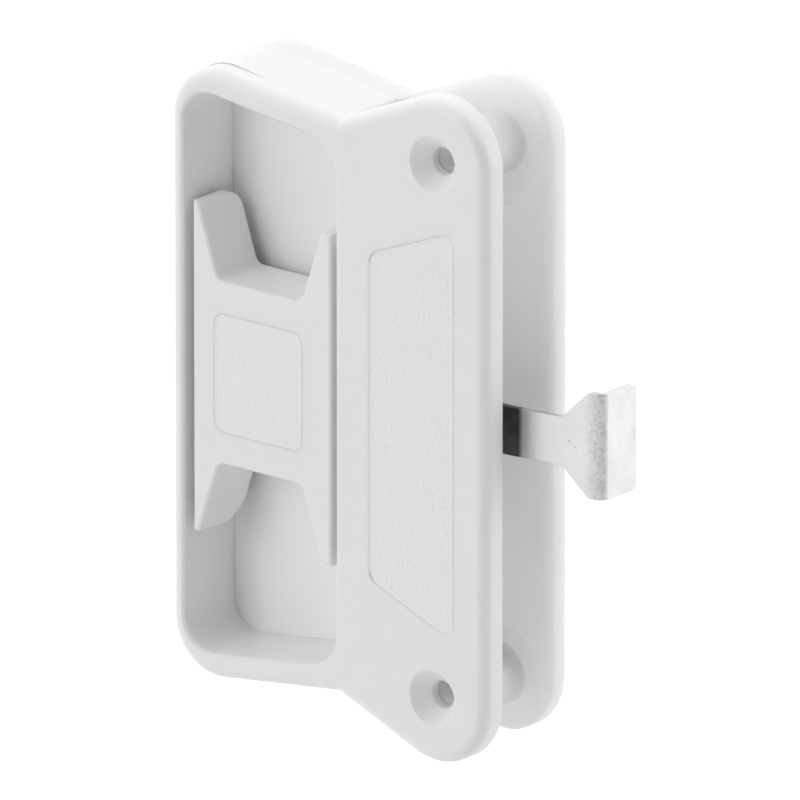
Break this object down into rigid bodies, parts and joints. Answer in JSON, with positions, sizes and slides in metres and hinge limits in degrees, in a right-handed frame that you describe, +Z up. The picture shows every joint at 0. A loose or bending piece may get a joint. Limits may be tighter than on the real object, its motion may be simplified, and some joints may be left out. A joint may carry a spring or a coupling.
{
  "type": "sliding door handle",
  "caption": "White plastic sliding screen-door handle: inside housing with finger recess and rocking latch lever, matching outside plate, and a sprung steel hook that catches the jamb.",
  "frame": {"origin": "midway between the two screw holes, on the plane where the inside flange seats on the door", "axes": "+X along the door's face toward the hook, +Y into the door from the inside, +Z up"},
  "size_m": [0.0773, 0.0214, 0.1066],
  "materials": {
    "white_plastic": "satin moulded, grained panels",
    "zinc_steel": "zinc plated",
    "bright_steel": "bright drawn"
  },
  "bodies": {
    "housing": {"inside_housing": "white_plastic", "outside_plate": "white_plastic", "pivot_pin": "bright_steel", "return_spring": "bright_steel"},
    "latch": {"latch_lever": "white_plastic", "latch_hook": "zinc_steel"}
  },
  "joints": [
    {"name": "latch_swing", "type": "hinge", "parent": "housing", "child": "latch", "pos_m": [-0.0352, 0.004, 0], "axis": [0, 0, -1], "range_deg": [0, 4.6], "stiffness_Nm_per_rad": 0.2, "springref_deg": -10.31, "deforming": ["return_spring"]}
  ]
}
